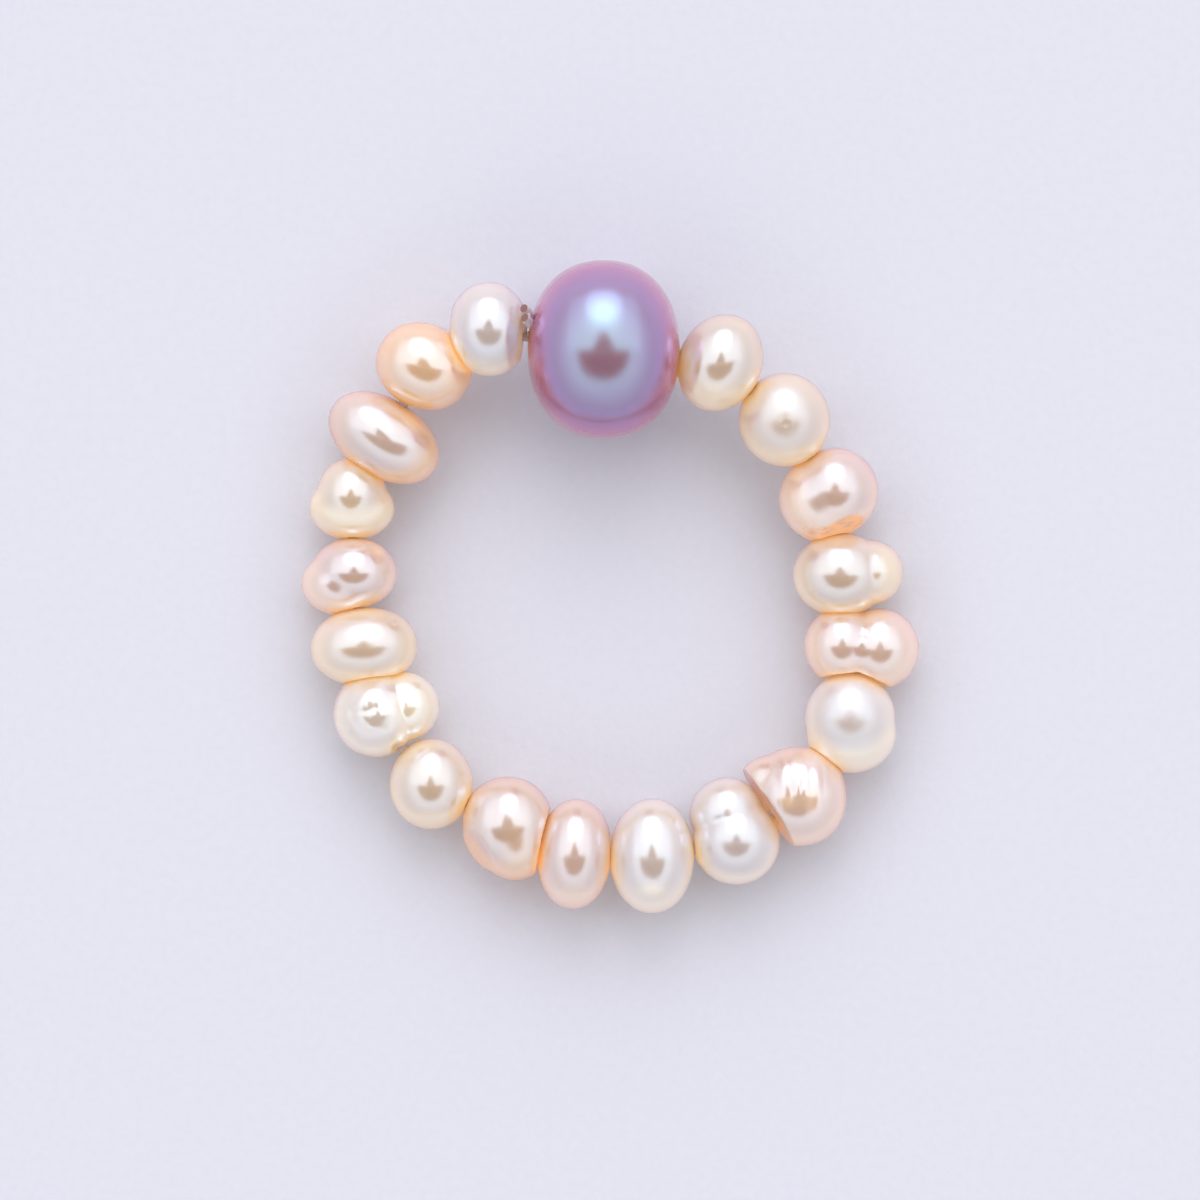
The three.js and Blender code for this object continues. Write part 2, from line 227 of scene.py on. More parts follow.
# The sizes of the lumps on the crumpled pearls, and of any other pearl's
CRUMPLE_SIZES = {"pearl_07": (0.45, 1.8, 1.2), "pearl_11": (0.6, 1.5, 1.0)}
PLAIN_CRUMPLE_SIZE = (0.9, 0.9, 0.9)

# Every pearl's waves and fine grain
WAVE_SIZE = 2.0
GRAIN_SIZE = 0.5
GRAIN_HEIGHT = 0.0035

# The knot, which sits in the groove between its two pearls: a ball of turns, a strand from the
# ball down to the cord, and the two cut ends of the cord, which stand out of it. The turns and
# the strand are thinner than the cord, to fit into the groove.
KNOT_PLACE = np.array([0.1, 0.9, 1.3])
KNOT_TURNS = np.array([0.1, 0.32, 0.27])
TURN_RADIUS = 0.12
STRAND_RADIUS = 0.07
CUT_RADIUS = 0.2
CUT_ENDS = [
    [(0.08, 0.05, -0.1), (0.06, 0.18, 0.1), (-0.04, 0.3, 0.28), (-0.14, 0.36, 0.44)],
    [(0.14, -0.4, -0.05), (0.14, -0.3, 0.2), (0.03, -0.16, 0.42), (-0.1, -0.08, 0.6)],
]


def rows_of(columns, rows):
    """Rows of values as objects with one attribute for each column."""
    names = columns.split()
    return [SimpleNamespace(**dict(zip(names, row))) for row in rows]


def unit(vectors):
    """Vectors scaled to length 1."""
    return vectors / np.linalg.norm(vectors, axis=-1, keepdims=True)


def soft_max(a, b, blend):
    """The larger of two values, with the corner where they cross rounded over a width."""
    corner = np.maximum(blend - np.abs(a - b), 0)
    return np.maximum(a, b) + corner ** 2 / (4 * blend)


def facing(azimuth, elevation):
    """The direction with an azimuth from +X and an elevation above the paper, in degrees."""
    turn, rise = math.radians(azimuth), math.radians(elevation)
    return np.array([
        math.cos(rise) * math.cos(turn),
        math.cos(rise) * math.sin(turn),
        math.sin(rise),
    ])


def body_reach(pearl, directions):
    """How far the pearl's own body reaches along directions from its middle."""
    cos, sin = math.cos(pearl.turn), math.sin(pearl.turn)
    x = (directions[..., 0] * cos + directions[..., 1] * sin) / pearl.half[0]
    y = (directions[..., 1] * cos - directions[..., 0] * sin) / pearl.half[1]
    z = directions[..., 2] / pearl.half[2]
    along = np.abs(x) ** pearl.fullness
    across = np.hypot(y, z) ** pearl.fullness
    return (along + across) ** (-1 / pearl.fullness)


def lobe_reach(lobe, directions):
    """How far an added lobe reaches along directions from the pearl's middle."""
    ray = directions / lobe.half
    offset = lobe.offset / lobe.half
    a = (ray ** 2).sum(-1)
    b = ray @ offset
    return (b + np.sqrt(b * b - a * (offset @ offset - 1))) / a


def reach(pearl, directions):
    """How far the pearl reaches along directions: its body and its lobes, cut by its flats."""
    outer = body_reach(pearl, directions)
    for lobe in pearl.lobes:
        outer = soft_max(outer, lobe_reach(lobe, directions), CREASE)
    for flat in pearl.flats:
        lean = directions @ flat.normal
        cut = -soft_max(-outer, -flat.distance / np.maximum(lean, GRAZING), flat.edge)
        outer = np.where(lean > GRAZING, cut, outer)
    return outer


def grow(row):
    """A pearl from its row of the table, with its lobes and its flats."""
    pearl = SimpleNamespace(**vars(row))
    pearl.middle = np.array([row.x, row.y, row.lift + row.height / 2])
    pearl.turn = math.radians(row.turn)
    pearl.half = np.array([row.length, row.width, row.height]) / 2
    pearl.lobes = [lobe for lobe in rows_of(LOBE_COLUMNS, LOBES) if lobe.pearl == row.name]
    for lobe in pearl.lobes:
        lobe.offset = np.array([lobe.x, lobe.y, lobe.z])
        lobe.half = np.array([lobe.length, lobe.width, lobe.height]) / 2
    pearl.flats = [flat for flat in rows_of(FLAT_COLUMNS, FLATS) if flat.pearl == row.name]
    for flat in pearl.flats:
        flat.normal = facing(flat.azimuth, flat.elevation)
    body = next(body for body in rows_of(BODY_COLUMNS, BODIES) if body.pearl == row.name)
    pearl.warmth = body.warmth
    pearl.dull = body.dull
    pearl.waves = body.waves
    pearl.crumple = body.crumple
    pearl.covers = []
    pearl.neighbours = []
    return pearl


def meet(pearl, following, gap):
    """Settles where two neighbours meet: the lower one keeps clear of the one over it."""
    upper, lower = (pearl, following) if pearl.over == "this" else (following, pearl)
    across = lower.middle - upper.middle
    distance = np.linalg.norm(across)
    direction = across / distance
    near = reach(upper, direction)
    far = reach(lower, -direction)
    space = max(distance - near - far, gap)
    contact = upper.middle + direction * (near + space / 2)
    lower.covers.append((upper, gap))
    pearl.exit = contact
    following.entry = contact
    pearl.neighbours.append(following)
    following.neighbours.append(pearl)


def clearance(pearl, points):
    """How far points are outside a pearl's surface, along spokes from its middle."""
    spokes = points - pearl.middle
    lengths = np.linalg.norm(spokes, axis=-1)
    return lengths - reach(pearl, spokes / lengths[..., None])


def distance_to_surface(pearl, start, directions):
    """How far it is from a point inside the pearl to its surface along each direction."""
    inside = np.zeros(directions.shape[:-1])
    outside = np.full(directions.shape[:-1], FARTHEST)
    for _ in range(HALVINGS):
        half = (inside + outside) / 2
        points = start + directions * half[..., None]
        within = clearance(pearl, points) < 0
        for cover, gap in pearl.covers:
            within &= clearance(cover, points) > gap
        inside = np.where(within, half, inside)
        outside = np.where(within, outside, half)
    return inside


def cross_directions(axis):
    """Two directions square to an axis, the first as near upright as it can be."""
    upright = unit(UP - axis * (UP @ axis))
    return upright, np.cross(axis, upright)


def rim_angles(pearl, start, spoke, pole):
    """The angles from the drill axis at which spokes meet the hole's rim."""
    angles = np.zeros(spoke(0.0).shape[0])
    for _ in range(RIM_ROUNDS):
        distance = distance_to_surface(pearl, start, spoke(np.abs(pole - angles)))
        angles = np.arcsin(HOLE_RADIUS / distance)
    return np.abs(pole - angles)


def pearl_points(pearl, fineness):
    """Rings of points from one mouth of the drill hole to the other, and back inside it."""
    rings, sides = fineness
    axis = unit(pearl.exit - pearl.entry)
    start = pearl.entry + axis * ((pearl.middle - pearl.entry) @ axis)
    upright, sideways = cross_directions(axis)
    around = np.arange(sides) / sides * 2 * math.pi
    outward = np.cos(around)[:, None] * upright + np.sin(around)[:, None] * sideways

    def spoke(angles):
        angles = np.broadcast_to(angles, around.shape)[:, None]
        return outward * np.sin(angles) - axis * np.cos(angles)

    first = rim_angles(pearl, start, spoke, 0.0)
    last = rim_angles(pearl, start, spoke, math.pi)
    points = []
    for ring in range(rings + 1):
        directions = spoke(first + (last - first) * ring / rings)
        distance = distance_to_surface(pearl, start, directions)
        points.append(start + directions * distance[:, None])
    mouths = points[-1] - axis * MOUTH_DEPTH, points[0] + axis * MOUTH_DEPTH
    return np.array([*points, *mouths])


# How quickly marks fade below a pearl's upper side, and where a pit's rim lies and how wide it
# is, in radii of the pit
UPPER_FADE = 3
RIM_PLACE = 1.5
RIM_WIDTH = 0.45


def marked(pearl, points):
    """The pearl's surface with its pits pressed in and its growth grooves drawn round it."""
    offset = points - pearl.middle
    upper = np.clip(offset[..., 2] / pearl.half[2] * UPPER_FADE, 0, 1)
    lift = np.zeros(points.shape[:-1])
    for pit in rows_of(PIT_COLUMNS, PITS):
        if pit.pearl == pearl.name:
            away = np.hypot(offset[..., 0] - pit.x, offset[..., 1] - pit.y) / pit.radius
            rim = pit.rim * np.exp(-((away - RIM_PLACE) / RIM_WIDTH) ** 2)
            lift += (rim - pit.depth * np.exp(-away ** 2)) * upper
    for groove in rows_of(GROOVE_COLUMNS, GROOVES):
        if groove.pearl == pearl.name:
            away = (offset @ facing(groove.azimuth, 0) - groove.offset) / groove.width
            lift -= groove.depth * np.exp(-away ** 2)
    return points + unit(offset) * lift[..., None]


# How a pearl's colour varies: where the painted warm light at its sides begins and how soon it
# is strongest, the share of it that a side facing the soft box keeps, how far crevices reach, and
# how soon a flat's wear fades past its edge
SIDE_START = 0.5
SIDE_WIDTH = 0.4
LIT_SIDE_SHARE = 0.2
CREVICE_REACH = 0.22
WORN_EDGE = 0.04


def colouring(pearl, points):
    """What varies over a pearl's surface, as an attribute of each name on its points."""
    offset = points - pearl.middle
    upper = np.clip(offset[..., 2] / pearl.half[2] * UPPER_FADE + 0.5, 0, 1)
    values = {kind: np.zeros(len(points)) for kind in SURFACE_KINDS}
    # painted light: the sides are warmer than the crown, as though lit through the pearl, and
    # most of all those towards the ring's foot, turned away from the soft box
    away = unit(offset)
    outward = np.hypot(away[..., 0], away[..., 1])
    away_from_box = LIT_SIDE_SHARE + (1 - LIT_SIDE_SHARE) * np.clip(0.5 - away[..., 1], 0, 1)
    side = np.clip((outward - SIDE_START) / SIDE_WIDTH, 0, 1) ** 2
    values["warmth"] += pearl.warmth + away_from_box * side
    values["dull"] += pearl.dull
    for patch in rows_of(PATCH_COLUMNS, PATCHES):
        if patch.pearl == pearl.name:
            across = (offset[..., 0] - patch.x) / patch.width
            along = (offset[..., 1] - patch.y) / patch.height
            values[patch.kind] += patch.amount * upper * np.exp(-across ** 2 - along ** 2)
    for flat in pearl.flats:
        depth = np.linalg.norm(offset, axis=-1) * (away @ flat.normal) - flat.distance
        cut = np.clip(1 + depth / WORN_EDGE, 0, 1)
        values["wear_and_glow"] += flat.wear * cut
    space = np.min([clearance(other, points) for other in pearl.neighbours], axis=0)
    # crevices keep the skin still where neighbours nearly touch, and are where a painted amber
    # glow gathers, standing for light that has crossed the pearls, most on the side away from the
    # soft box
    values["crevice"] = np.exp(-np.maximum(space - PEARL_GAP, 0) / CREVICE_REACH)
    values["amber"] = away_from_box * values["crevice"]
    return {kind: np.clip(value, -1, 1) for kind, value in values.items()}


def wrapped_faces(rings, sides):
    """The faces of a closed body that wraps round both ways."""
    ring, side = np.meshgrid(np.arange(rings), np.arange(sides), indexing="ij")
    a = ring * sides + side
    b = ring * sides + (side + 1) % sides
    c = (ring + 1) % rings * sides + (side + 1) % sides
    d = (ring + 1) % rings * sides + side
    return np.stack([a, b, c, d], axis=-1).reshape(-1, 4)


def mesh_from(name, points, edges, faces, attributes):
    """A mesh from points in millimetres, with an attribute of each name on its points."""
    mesh = bpy.data.meshes.new(name)
    mesh.from_pydata((points * MM).tolist(), edges, faces)
    for label, values in attributes.items():
        stored = mesh.attributes.new(label, "FLOAT", "POINT")
        stored.data.foreach_set("value", values.astype(np.float32))
    mesh.shade_smooth()
    return mesh


def add(tree, kind, inputs=None, **settings):
    """Adds a node with its settings; each input is a value or the socket it is linked from."""
    made = tree.nodes.new(kind)
    for name, value in settings.items():
        setattr(made, name, value)
    for name, value in (inputs or {}).items():
        if isinstance(value, bpy.types.NodeSocket):
            tree.links.new(value, made.inputs[name])
        else:
            made.inputs[name].default_value = value
    return made


def maths(tree, operation, *values, clamp=False):
    """The result of a maths node on values or sockets."""
    made = add(
        tree, "ShaderNodeMath", dict(enumerate(values)), operation=operation, use_clamp=clamp,
    )
    return made.outputs[0]


def attribute(tree, name):
    """What a piece's attribute of this name says, for a material."""
    return add(tree, "ShaderNodeAttribute", attribute_name=name).outputs["Fac"]


def noise(tree, vector, scale, detail):
    """Soft noise, with this many grains to each unit of the vector."""
    inputs = {"Vector": vector, "Scale": scale, "Detail": detail}
    return add(tree, "ShaderNodeTexNoise", inputs).outputs[0]


def ranged(tree, value, given, wanted=(0.0, 1.0), **settings):
    """A value moved from a given range to a wanted one, and kept in it."""
    inputs = {"Value": value, "From Min": given[0], "From Max": given[1]}
    inputs |= {"To Min": wanted[0], "To Max": wanted[1]}
    return add(tree, "ShaderNodeMapRange", inputs, **settings).outputs[0]


def mixed(tree, amount, first, second):
    """The colour between two that an amount from 0 to 1 picks."""
    inputs = {0: amount, 6: first, 7: second}
    return add(tree, "ShaderNodeMix", inputs, data_type="RGBA").outputs[2]


def linear(code):
    """A colour from its sRGB hex code, turned to linear."""
    levels = [int(code[i:i + 2], 16) / 255 for i in (1, 3, 5)]
    return (*[c / 12.92 if c <= 0.04045 else ((c + 0.055) / 1.055) ** 2.4 for c in levels], 1)


# The nacre's skin: shallow waves, a fine grain, and the lumps of a crumpled pearl
SKIN_INPUTS = [
    ("Wave Height", "NodeSocketFloat"),
    ("Wave Size", "NodeSocketFloat"),
    ("Grain Height", "NodeSocketFloat"),
    ("Grain Size", "NodeSocketFloat"),
    ("Crumple Height", "NodeSocketFloat"),
    ("Crumple Size", "NodeSocketVector"),
    ("Seed", "NodeSocketFloat"),
    ("Finish", "NodeSocketMaterial"),
]


def geometry_tree(name, inputs):
    """An empty geometry node tree with named inputs, and the sockets that give them."""
    tree = bpy.data.node_groups.new(name, "GeometryNodeTree")
    tree.interface.new_socket("Geometry", in_out="INPUT", socket_type="NodeSocketGeometry")
    for label, kind in inputs:
        tree.interface.new_socket(label, in_out="INPUT", socket_type=kind)
    tree.interface.new_socket("Geometry", in_out="OUTPUT", socket_type="NodeSocketGeometry")
    return tree, add(tree, "NodeGroupInput").outputs


def finished(tree, geometry, finish):
    """Ends a geometry node tree: everything made real, with its finish on."""
    real = add(tree, "GeometryNodeRealizeInstances", {"Geometry": geometry})
    done = add(
        tree, "GeometryNodeSetMaterial", {"Geometry": real.outputs[0], "Material": finish},
    )
    add(tree, "NodeGroupOutput", {0: done.outputs[0]})


# How the lumps of a crumpled pearl run into each other, and the level they rise and sink from
LUMP_SMOOTHNESS = 0.35
LUMP_LEVEL = 0.45


def nacre_skin():
    """Moves a pearl's surface in and out by soft noise, and gives it its finish."""
    tree, given = geometry_tree("nacre_skin", SKIN_INPUTS)
    place = add(tree, "GeometryNodeInputPosition").outputs[0]
    normal = add(tree, "GeometryNodeInputNormal").outputs[0]
    crevice = add(tree, "GeometryNodeInputNamedAttribute", {"Name": "crevice"}).outputs[0]
    crumple = add(tree, "GeometryNodeInputNamedAttribute", {"Name": "crumple"}).outputs[0]
    # lumps with soft valleys between them, where the pearl is crumpled
    cells = add(
        tree, "ShaderNodeVectorMath", {0: place, 1: given["Crumple Size"]}, operation="DIVIDE",
    ).outputs[0]
    lumps = add(
        tree, "ShaderNodeTexVoronoi",
        {"Vector": cells, "W": given["Seed"], "Scale": 1.0, "Smoothness": LUMP_SMOOTHNESS},
        voronoi_dimensions="4D", feature="SMOOTH_F1",
    ).outputs["Distance"]
    valleys = maths(tree, "SUBTRACT", LUMP_LEVEL, lumps)
    amount = maths(tree, "MULTIPLY", crumple, given["Crumple Height"])
    total = maths(tree, "MULTIPLY", valleys, amount)
    for size, height in (("Wave Size", "Wave Height"), ("Grain Size", "Grain Height")):
        scale = maths(tree, "DIVIDE", 1.0, given[size])
        soft = add(
            tree, "ShaderNodeTexNoise",
            {"Vector": place, "W": given["Seed"], "Scale": scale, "Detail": 1.0},
            noise_dimensions="4D",
        ).outputs[0]
        level = maths(tree, "ADD", soft, -0.5)
        total = maths(tree, "MULTIPLY_ADD", level, given[height], total)
    clear = maths(tree, "SUBTRACT", 1.0, crevice)
    total = maths(tree, "MULTIPLY", total, clear)
    offset = add(
        tree, "ShaderNodeVectorMath", {0: normal, "Scale": total}, operation="SCALE",
    ).outputs[0]
    moved = add(
        tree, "GeometryNodeSetPosition", {"Geometry": given["Geometry"], "Offset": offset},
    ).outputs[0]
    finished(tree, moved, given["Finish"])
    return tree


# A round thread along every line of a mesh: its radius is the thickness times the points'
# girth attribute
THREAD_INPUTS = [
    ("Thickness", "NodeSocketFloat"),
    ("Sides", "NodeSocketInt"),
    ("Finish", "NodeSocketMaterial"),
]


def round_thread():
    """Runs a round thread along lines, with closed ends, and gives it its finish."""
    tree, given = geometry_tree("round_thread", THREAD_INPUTS)
    lines = add(tree, "GeometryNodeMeshToCurve", {"Mesh": given["Geometry"]}).outputs[0]
    girth = add(tree, "GeometryNodeInputNamedAttribute", {"Name": "girth"}).outputs[0]
    profile = add(
        tree, "GeometryNodeCurvePrimitiveCircle",
        {"Resolution": given["Sides"], "Radius": given["Thickness"]},
    ).outputs[0]
    tube = add(
        tree, "GeometryNodeCurveToMesh",
        {"Curve": lines, "Profile Curve": profile, "Scale": girth, "Fill Caps": True},
    ).outputs[0]
    smooth = add(tree, "GeometryNodeSetShadeSmooth", {"Geometry": tube}).outputs[0]
    finished(tree, smooth, given["Finish"])
    return tree


def shaped_by(tree, mesh, inputs):
    """A plain mesh made from a mesh by a geometry node tree with these inputs."""
    form = bpy.data.objects.new(mesh.name, mesh)
    bpy.context.scene.collection.objects.link(form)
    modifier = form.modifiers.new("shape", "NODES")
    modifier.node_group = tree
    sockets = {item.name: item for item in tree.interface.items_tree if item.in_out == "INPUT"}
    for label, value in inputs.items():
        modifier[sockets[label].identifier] = value
    graph = bpy.context.evaluated_depsgraph_get()
    shaped = bpy.data.meshes.new_from_object(form.evaluated_get(graph))
    bpy.data.objects.remove(form)
    return shaped


def place_mesh(name, mesh, node):
    """Puts a mesh exactly into its CAD node's box as that node's piece."""
    low, high = (np.array(corner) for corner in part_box(node))
    points = np.empty(len(mesh.vertices) * 3, np.float32)
    mesh.vertices.foreach_get("co", points)
    points = points.reshape(-1, 3).astype(float)
    least, most = points.min(0), points.max(0)
    points = low + (points - least) * ((high - low) / (most - least))
    mesh.vertices.foreach_set("co", points.astype(np.float32).ravel())
    mesh.update()
    piece = bpy.data.objects.new(name, mesh)
    bpy.context.scene.collection.objects.link(piece)
    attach(piece, "root")
    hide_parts(node)
    return piece


# What each slot's nacre looks like. Its colours: the pale body, the warmer tone of its clouds
# and sides (at the sides a painted warm light), the painted amber glow of light that has crossed
# a pearl, and the bare layer under worn nacre. Its mirror: the index and the thickness of its
# thin film, the index under it and how strongly that mirrors, the weight of a clear coat, and
# the roughness of its polish. Last, how strongly the painted amber glow is emitted.
NACRE_COLUMNS = "tone pale warm amber bare film_index film_nm index level coat rough through"
NACRES = [
    ("purple", "#B07482", "#A85060", "#B45A5A", "#B5666B", 1.75, 274, 3.0, 0.62, 1.0, 0.18, 0.05),
    ("white", "#EED4C4", "#FFE8CA", "#FFCC7C", "#FFC476", 1.28, 176, 2.8, 1.0, 0.0, 0.17, 0.14),
    ("cream", "#ECCAAE", "#FFE0B2", "#FFC56C", "#FFC070", 1.28, 176, 2.8, 1.0, 0.0, 0.17, 0.14),
    ("pink", "#ECC2AC", "#FFD6B2", "#FFC070", "#F59A1C", 1.28, 176, 2.8, 1.0, 0.0, 0.17, 0.14),
    ("peach", "#F0CCB4", "#FCC688", "#FFBA60", "#FAB05C", 1.28, 176, 2.8, 1.0, 0.0, 0.17, 0.14),
]


# The nacre's colour varies in clouds 2 mm across. The bare layer is streaked with flecks about
# 0.2 mm across and three times as long. The polish varies in patches 1 mm across, and is lost
# where the nacre is worn. The grain is about 0.3 mm across, and deeper where it is worn.
CLOUD_SCALE = 0.5
CLOUD_RANGE = (0.4, 0.7)
CLOUD_WARMTH = (0.0, 0.2)
FLECK_STRETCH = (400, 1300, 1000)
FLECK_SCALE = 4.0
FLECK_RANGE = (0.36, 0.56)
FLECK_COLOUR = "#B86A22"
POLISH_SCALE = 1.0
POLISH_RANGE = (0.3, 0.7)
POLISH_LOSS = 0.05
WORN_ROUGHNESS = 0.5
FINE_GRAIN_SCALE = 3.0
WORN_GRAIN = 3.0
COAT_ROUGHNESS = 0.24
COAT_INDEX = 2.4
# How strong the nacre's bump is, and its depth in metres
NACRE_BUMP = (0.08, 0.00003)
# How much light spreads under the polish, and how far: red the farthest, by 0.0012 metres
SPREAD_WEIGHT = 0.35
SPREAD_TINT = (1.0, 0.6, 0.35)
SPREAD = 0.0012


def material_tree(name):
    """An empty material, its node tree, and its piece's own coordinates in metres and in mm."""
    material = bpy.data.materials.new(name)
    material.use_nodes = True
    tree = material.node_tree
    tree.nodes.clear()
    place = add(tree, "ShaderNodeTexCoord").outputs["Object"]
    in_mm = add(
        tree, "ShaderNodeMapping", {"Vector": place, "Scale": (1000, 1000, 1000)},
    ).outputs[0]
    return material, tree, place, in_mm


def bumped(tree, height, strength, distance):
    """A surface normal leant by the slopes of a height."""
    inputs = {"Height": height, "Strength": strength, "Distance": distance}
    return add(tree, "ShaderNodeBump", inputs).outputs[0]


def nacre_flecks(tree, place):
    """The long flecks of the bare layer under worn nacre."""
    along = add(
        tree, "ShaderNodeMapping", {"Vector": place, "Scale": FLECK_STRETCH},
    ).outputs[0]
    return noise(tree, along, FLECK_SCALE, 3.0)


def nacre_colour(tree, look, in_mm, flecks, wear_and_glow, warmth, painted_contact_glow):
    """The nacre's body: cloudy, warmer at its sides with painted light, a painted amber glow in
    crevices, streaked if worn.
    """
    pale, warm, amber, bare = map(linear, (look.pale, look.warm, look.amber, look.bare))
    clouds = noise(tree, in_mm, CLOUD_SCALE, 2.0)
    cloudy = ranged(tree, clouds, CLOUD_RANGE, CLOUD_WARMTH)
    warmer = maths(tree, "ADD", cloudy, warmth, clamp=True)
    # pale to warm by clouds and by the warm attribute, which holds the pearl's tone and painted
    # warm light at its sides
    colour = mixed(tree, warmer, pale, warm)
    # painted amber glow in the crevices, for light that has crossed the pearl
    colour = mixed(tree, painted_contact_glow, colour, amber)
    fleck = ranged(tree, flecks, FLECK_RANGE)
    return mixed(tree, wear_and_glow, colour, mixed(tree, fleck, linear(FLECK_COLOUR), bare))


def nacre_roughness(tree, look, in_mm, wear_and_glow):
    """How rough the nacre's polish is."""
    dull = attribute(tree, "dull")
    patches = noise(tree, in_mm, POLISH_SCALE, 2.0)
    polish = ranged(tree, patches, POLISH_RANGE, (look.rough, look.rough + POLISH_LOSS))
    polish = maths(tree, "ADD", polish, dull)
    return maths(tree, "MULTIPLY_ADD", wear_and_glow, WORN_ROUGHNESS, polish, clamp=True)


def nacre_grain(tree, in_mm, flecks, wear_and_glow):
    """The fine grain of the nacre's surface, and the flecks that stand out of it if worn."""
    grain = noise(tree, in_mm, FINE_GRAIN_SCALE, 2.0)
    rough_grain = maths(tree, "MULTIPLY", flecks, WORN_GRAIN)
    height = add(
        tree, "ShaderNodeMix", {0: wear_and_glow, 2: grain, 3: rough_grain}, data_type="FLOAT",
    ).outputs[0]
    return bumped(tree, height, *NACRE_BUMP)


def nacre(look):
    """Freshwater nacre, tumbled and polished: a soft mirror over a warm translucent body.

    A thin film turns the colour of the mirrored light as the surface turns away, which is the
    pearl's orient. A faint amber glow, painted on as light that the surface emits, stands for the
    light that crosses a pearl. It follows the warm, crevice and worn places, so it is fixed to
    the pearl and doesn't answer to the lamps.
    """
    material, tree, place, in_mm = material_tree(f"{look.tone}_freshwater_nacre")
    wear_and_glow = attribute(tree, "wear_and_glow")
    warmth = attribute(tree, "warmth")
    painted_contact_glow = attribute(tree, "amber")
    flecks = nacre_flecks(tree, place)
    # the painted glow's strength: the warm, crevice and worn places together
    glow = maths(tree, "ADD", warmth, painted_contact_glow)
    glow = maths(tree, "ADD", glow, wear_and_glow)
    glow = maths(tree, "MULTIPLY", glow, look.through)
    shader = add(
        tree, "ShaderNodeBsdfPrincipled",
        {
            "Base Color": nacre_colour(tree, look, in_mm, flecks, wear_and_glow, warmth, painted_contact_glow),
            "Roughness": nacre_roughness(tree, look, in_mm, wear_and_glow),
            "Normal": nacre_grain(tree, in_mm, flecks, wear_and_glow),
            "IOR": look.index,
            "Specular IOR Level": look.level,
            "Coat Weight": look.coat,
            "Coat Roughness": COAT_ROUGHNESS,
            "Coat IOR": COAT_INDEX,
            "Subsurface Weight": SPREAD_WEIGHT,
            "Subsurface Radius": SPREAD_TINT,
            "Subsurface Scale": SPREAD,
            "Thin Film Thickness": look.film_nm,
            "Thin Film IOR": look.film_index,
            # painted glow: the nacre emits amber light, though it is no lamp
            "Emission Color": linear(look.amber),
            "Emission Strength": glow,
        },
    )
    add(tree, "ShaderNodeOutputMaterial", {"Surface": shader.outputs[0]})
    return material


# The elastic's colours, and the streaks in it, which are about 0.17 mm across
ELASTIC_COLOURS = ("#FBF0EC", "#EACFC8")
CUT_COLOUR = "#9A6E66"
STREAK_SCALE = 6.0
ELASTIC_BUMP = (0.2, 0.00002)
ELASTIC_ROUGHNESS = (0.15, 0.5)
ELASTIC_INDEX = 1.5
SEE_THROUGH = 0.2


def clear_elastic():
    """Clear elastic thread: glossy, a little see-through, and brownish where it is cut."""
    material, tree, _, in_mm = material_tree("clear_extruded_elastic")
    cut = attribute(tree, "cut")
    streaks = noise(tree, in_mm, STREAK_SCALE, 2.0)
    body = mixed(tree, streaks, *map(linear, ELASTIC_COLOURS))
    shader = add(
        tree, "ShaderNodeBsdfPrincipled",
        {
            "Base Color": mixed(tree, cut, body, linear(CUT_COLOUR)),
            "Roughness": ranged(tree, cut, (0.0, 1.0), ELASTIC_ROUGHNESS),
            "Normal": bumped(tree, streaks, *ELASTIC_BUMP),
            "IOR": ELASTIC_INDEX,
            "Transmission Weight": SEE_THROUGH,
        },
    )
    add(tree, "ShaderNodeOutputMaterial", {"Surface": shader.outputs[0]})
    return material


# The paper's colours, and its fibres, which are about 0.4 mm across
PAPER_COLOURS = ("#DEDDE4", "#E4E3EA")
FIBRE_SCALE = 2.5
PAPER_BUMP = (0.35, 0.00005)
PAPER_ROUGHNESS = 0.9
PAPER_SHINE = 0.2


def paper():
    """Smooth matt art paper, with the faint tooth of its fibres."""
    material, tree, _, in_mm = material_tree("matt_art_paper")
    fibres = noise(tree, in_mm, FIBRE_SCALE, 4.0)
    shader = add(
        tree, "ShaderNodeBsdfPrincipled",
        {
            "Base Color": mixed(tree, fibres, *map(linear, PAPER_COLOURS)),
            "Roughness": PAPER_ROUGHNESS,
            "Normal": bumped(tree, fibres, *PAPER_BUMP),
            "Specular IOR Level": PAPER_SHINE,
        },
    )
    add(tree, "ShaderNodeOutputMaterial", {"Surface": shader.outputs[0]})
    return material


def make_pearls():
    """Every pearl of the ring, each a closed form round its drill hole."""
    pearls = [grow(row) for row in rows_of(PEARL_COLUMNS, PEARLS)]
    for i, pearl in enumerate(pearls):
        last = i == len(pearls) - 1
        meet(pearl, pearls[(i + 1) % len(pearls)], KNOT_GAP if last else PEARL_GAP)
    skin = nacre_skin()
    finishes = {look.tone: nacre(look) for look in rows_of(NACRE_COLUMNS, NACRES)}
    for i, pearl in enumerate(pearls):
        points = pearl_points(pearl, LARGE_PEARL if i == 0 else SMALL_PEARL)
        faces = wrapped_faces(*points.shape[:2]).tolist()
        points = marked(pearl, points.reshape(-1, 3))
        attributes = colouring(pearl, points)
        mesh = mesh_from(pearl.name, points + GROUP_SHIFT, [], faces, attributes)
        crumples = CRUMPLE_SIZES.get(pearl.name, PLAIN_CRUMPLE_SIZE)
        shaped = shaped_by(skin, mesh, {
            "Wave Height": pearl.waves * MM,
            "Wave Size": WAVE_SIZE * MM,
            "Grain Height": GRAIN_HEIGHT * MM,
            "Grain Size": GRAIN_SIZE * MM,
            "Crumple Height": pearl.crumple * MM,
            "Crumple Size": tuple(size * MM for size in crumples),
            "Seed": float(i),
            "Finish": finishes[pearl.tone],
        })
        place_mesh(f"{pearl.name}_nacre", shaped, pearl.name)
    return pearls


